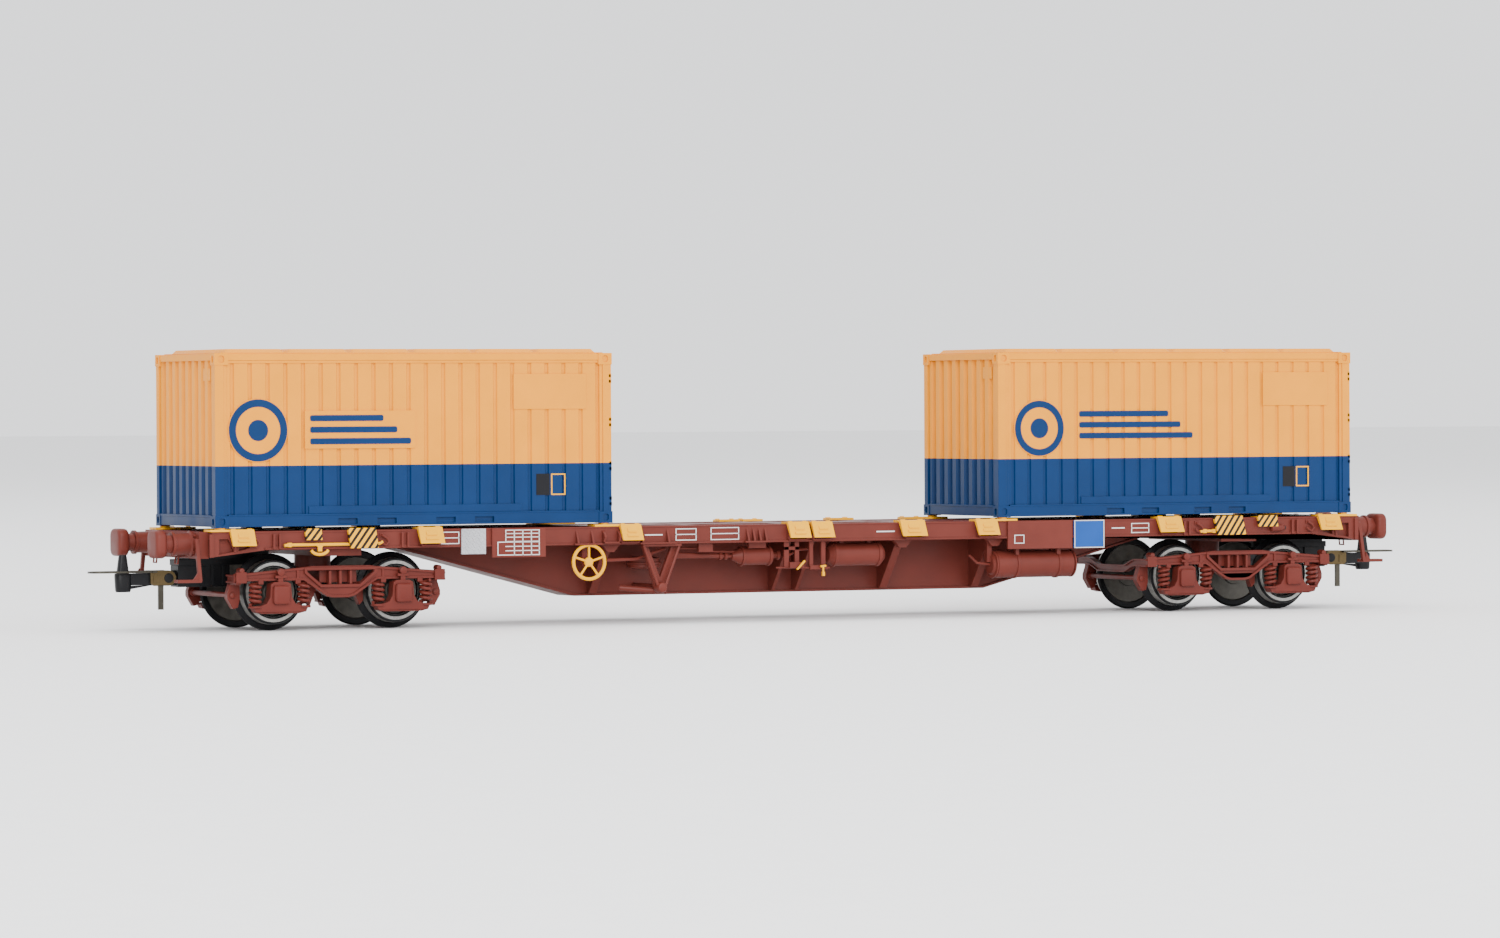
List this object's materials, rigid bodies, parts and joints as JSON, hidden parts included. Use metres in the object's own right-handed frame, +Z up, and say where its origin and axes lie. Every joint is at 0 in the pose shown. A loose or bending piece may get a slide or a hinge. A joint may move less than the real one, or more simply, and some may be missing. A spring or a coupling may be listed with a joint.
{
  "type": "model railway container flatcar",
  "caption": "Scale model bogie flatcar with fish-bellied frame, carrying two lift-off yellow and blue 20 ft containers.",
  "frame": {"origin": "midway between the bogies on the centre line, level with the bottom of the wheel flanges", "axes": "+X along the wagon towards the containers' doors, +Z up"},
  "size_m": [0.2442, 0.0322, 0.0455],
  "materials": {
    "frame_red": "satin oxide red-brown, moulded",
    "deck_dark": "dull dark weight plate",
    "bogie_red": "satin oxide red-brown, moulded",
    "signal_yellow": "satin bright yellow",
    "sign_red": "satin red, blank",
    "sign_blue": "satin blue, blank",
    "tread_silver": "silver paint",
    "coupler_black": "semi-matt black",
    "loop_metal": "blackened brass",
    "wheel_metal": "dark turned metal with a bright rim",
    "axle_metal": "dark turned metal",
    "container_yellow": "satin yellow-orange above, deep blue below",
    "container_blue": "satin deep blue"
  },
  "bodies": {
    "wagon": {"deck": "deck_dark", "sole_bars": "frame_red", "centre_girder": "frame_red", "cross_ribs": "frame_red", "headstocks": "frame_red", "bolsters": "frame_red", "buffers": "frame_red", "coupler_guides": "coupler_black", "spigot_plates": "signal_yellow", "warning_flaps": "signal_yellow", "corner_steps": "frame_red", "handwheels": "signal_yellow", "brake_hangers": "frame_red", "brake_cylinder": "frame_red", "air_tanks": "frame_red", "hook_bars": "signal_yellow", "red_panels": "sign_red", "blue_panels": "sign_blue", "tread_plates": "tread_silver"},
    "bogie_a": {"bogie_a_side_frames": "bogie_red", "bogie_a_bolster": "bogie_red", "bogie_a_axle_boxes": "bogie_red", "bogie_a_springs": "bogie_red", "bogie_a_brakes": "bogie_red", "bogie_a_brake_beams": "bogie_red"},
    "wheelset_a1": {"axle_a1": "axle_metal", "wheels_a1": "wheel_metal"},
    "wheelset_a2": {"axle_a2": "axle_metal", "wheels_a2": "wheel_metal"},
    "coupler_a": {"coupler_a_drawbar": "coupler_black", "coupler_a_hook": "coupler_black"},
    "coupler_a_bow": {"coupler_a_loop": "loop_metal"},
    "container_a": {"container_a_side_walls": "container_yellow", "container_a_end_wall": "container_yellow", "container_a_doors": "container_yellow", "container_a_floor": "container_blue", "container_a_roof": "container_yellow", "container_a_castings": "container_blue"},
    "bogie_b": {"bogie_b_side_frames": "bogie_red", "bogie_b_bolster": "bogie_red", "bogie_b_axle_boxes": "bogie_red", "bogie_b_springs": "bogie_red", "bogie_b_brakes": "bogie_red", "bogie_b_brake_beams": "bogie_red"},
    "wheelset_b1": {"axle_b1": "axle_metal", "wheels_b1": "wheel_metal"},
    "wheelset_b2": {"axle_b2": "axle_metal", "wheels_b2": "wheel_metal"},
    "coupler_b": {"coupler_b_drawbar": "coupler_black", "coupler_b_hook": "coupler_black"},
    "coupler_b_bow": {"coupler_b_loop": "loop_metal"},
    "container_b": {"container_b_side_walls": "container_yellow", "container_b_end_wall": "container_yellow", "container_b_doors": "container_yellow", "container_b_floor": "container_blue", "container_b_roof": "container_yellow", "container_b_castings": "container_blue"}
  },
  "joints": [
    {"name": "bogie_a_swivel", "type": "hinge", "parent": "wagon", "child": "bogie_a", "pos_m": [-0.0835, 0, 0.01045], "axis": [0, 0, 1], "range_deg": [-14, 14]},
    {"name": "wheelset_a1_spin", "type": "hinge", "parent": "bogie_a", "child": "wheelset_a1", "pos_m": [-0.0941, 0, 0.00625], "axis": [0, 1, 0], "continuous": true},
    {"name": "wheelset_a2_spin", "type": "hinge", "parent": "bogie_a", "child": "wheelset_a2", "pos_m": [-0.0729, 0, 0.00625], "axis": [0, 1, 0], "continuous": true},
    {"name": "coupler_a_swing", "type": "hinge", "parent": "wagon", "child": "coupler_a", "pos_m": [-0.0958, 0, 0.0116], "axis": [0, 0, 1], "range_deg": [-12, 12]},
    {"name": "coupler_a_loop_lift", "type": "hinge", "parent": "coupler_a", "child": "coupler_a_bow", "pos_m": [-0.1089, 0, 0.0086], "axis": [0, 1, 0], "range_deg": [0, 20]},
    {"name": "container_a_lift", "type": "slide", "parent": "wagon", "child": "container_a", "axis": [0, 0, 1], "range_m": [0, 0.03]},
    {"name": "bogie_b_swivel", "type": "hinge", "parent": "wagon", "child": "bogie_b", "pos_m": [0.0835, 0, 0.01045], "axis": [0, 0, 1], "range_deg": [-14, 14]},
    {"name": "wheelset_b1_spin", "type": "hinge", "parent": "bogie_b", "child": "wheelset_b1", "pos_m": [0.0729, 0, 0.00625], "axis": [0, 1, 0], "continuous": true},
    {"name": "wheelset_b2_spin", "type": "hinge", "parent": "bogie_b", "child": "wheelset_b2", "pos_m": [0.0941, 0, 0.00625], "axis": [0, 1, 0], "continuous": true},
    {"name": "coupler_b_swing", "type": "hinge", "parent": "wagon", "child": "coupler_b", "pos_m": [0.0958, 0, 0.0116], "axis": [0, 0, 1], "range_deg": [-12, 12]},
    {"name": "coupler_b_loop_lift", "type": "hinge", "parent": "coupler_b", "child": "coupler_b_bow", "pos_m": [0.1089, 0, 0.0086], "axis": [0, -1, 0], "range_deg": [0, 20]},
    {"name": "container_b_lift", "type": "slide", "parent": "wagon", "child": "container_b", "axis": [0, 0, 1], "range_m": [0, 0.03]}
  ]
}
